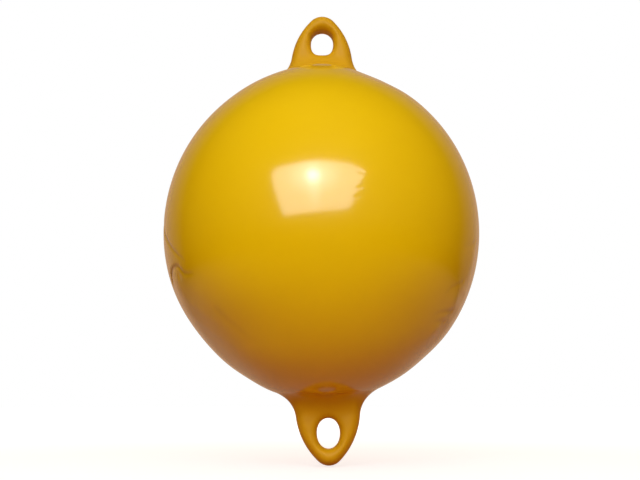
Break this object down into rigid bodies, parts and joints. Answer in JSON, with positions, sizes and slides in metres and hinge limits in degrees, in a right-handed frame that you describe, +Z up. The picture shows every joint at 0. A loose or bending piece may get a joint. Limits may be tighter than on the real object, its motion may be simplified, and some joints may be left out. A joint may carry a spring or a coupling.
{
  "type": "inflatable anchor buoy",
  "caption": "Round inflated soft vinyl buoy with a moulded rope eye at its top and bottom and a screw valve on its shoulder.",
  "frame": {"origin": "on the ball's axis at the waterline of the empty buoy, 43.5 mm above the ball's lower pole", "axes": "+Z up along the ball's axis from the lower eye to the upper one, +X across the eyes' flat faces, +Y away from the side that the picture shows, towards the valve"},
  "size_m": [0.2, 0.2, 0.2912],
  "materials": {
    "vinyl": "glossy moulded",
    "screw": "satin moulded"
  },
  "bodies": {
    "root": {"ball_shell": "vinyl", "upper_eye": "vinyl", "lower_eye": "vinyl", "valve_seat": "vinyl", "valve_screw": "screw"}
  },
  "joints": []
}
